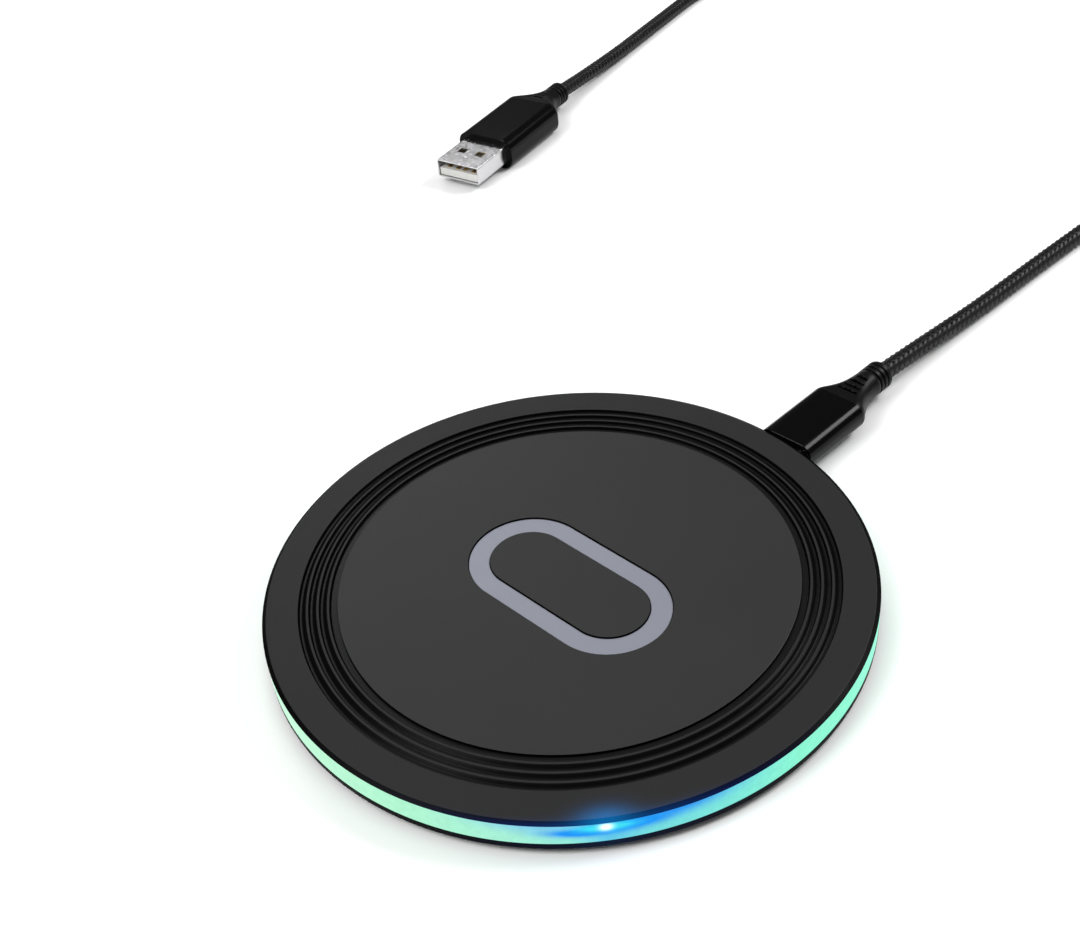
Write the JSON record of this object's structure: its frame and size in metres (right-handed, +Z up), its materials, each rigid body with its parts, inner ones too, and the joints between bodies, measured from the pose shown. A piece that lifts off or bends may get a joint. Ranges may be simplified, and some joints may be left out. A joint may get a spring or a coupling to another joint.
{
  "type": "wireless charging pad",
  "caption": "Flat round wireless charging pad with a grooved top, an inlaid mark and a glowing edge ring, with a braided USB cable that unplugs from its edge.",
  "frame": {"origin": "middle of the pad on the surface that it rests on", "axes": "+Z up out of the charging face, +Y out through the USB-C socket, +X along the inlaid mark"},
  "size_m": [0.1975, 0.32, 0.0086],
  "materials": {
    "cover_plastic": "fine matte moulded",
    "panel_plastic": "soft matte",
    "inlay_silver": "satin silver-grey",
    "base_plastic": "fine matte moulded",
    "foot_rubber": "matte",
    "light_diffuser": "translucent diffuser",
    "socket_steel": "plated",
    "black_insulator": "moulded",
    "white_insulator": "moulded",
    "board_laminate": "solder mask",
    "screw_steel": "black zinc",
    "ferrite_ceramic": "sintered, matt",
    "adhesive_film": "film",
    "litz_copper": "enamelled copper",
    "sensor_epoxy": "epoxy bead",
    "chip_epoxy": "moulded epoxy",
    "capacitor_ceramic": "ceramic",
    "can_steel": "satin",
    "inductor_ferrite": "sintered",
    "strip_film": "white film",
    "led_resin": "clear resin",
    "plug_steel": "nickel plated",
    "contact_gold": "gold plated",
    "plug_body": "satin moulded",
    "plug_boot": "soft moulded",
    "cord_braid": "braided nylon",
    "tie_fabric": "hook and loop"
  },
  "bodies": {
    "pad": {"base_cover": "base_plastic", "board_screws": "screw_steel", "bridge_transistors": "chip_epoxy", "centre_panel": "panel_plastic", "circuit_board": "board_laminate", "clock_crystal": "can_steel", "coil_adhesive": "adhesive_film", "coil_leads": "litz_copper", "controller_chip": "chip_epoxy", "cover_screws": "screw_steel", "ferrite_plate": "ferrite_ceramic", "foot_ring": "foot_rubber", "input_capacitors": "capacitor_ceramic", "led_strip": "strip_film", "light_ring": "light_diffuser", "mark_inlay": "inlay_silver", "port_bezel": "base_plastic", "power_inductor": "inductor_ferrite", "resonant_capacitors": "capacitor_ceramic", "ring_leds": "led_resin", "socket_shell": "socket_steel", "socket_tongue": "black_insulator", "thermistor": "sensor_epoxy", "top_cover": "cover_plastic", "transmitter_coil": "litz_copper"},
    "cable": {"usbc_shell": "plug_steel", "usbc_insulator": "black_insulator", "usbc_housing": "plug_body", "usbc_boot": "plug_boot", "usba_shell": "plug_steel", "usba_insulator": "white_insulator", "usba_contacts": "contact_gold", "usba_housing": "plug_body", "usba_boot": "plug_boot", "cable_lead": "cord_braid", "cable_tail": "cord_braid", "cable_coil": "cord_braid", "cable_tie": "tie_fabric"}
  },
  "joints": [
    {"name": "cable_unplug", "type": "slide", "parent": "pad", "child": "cable", "axis": [0, 1, 0], "range_m": [0, 0.012]}
  ]
}
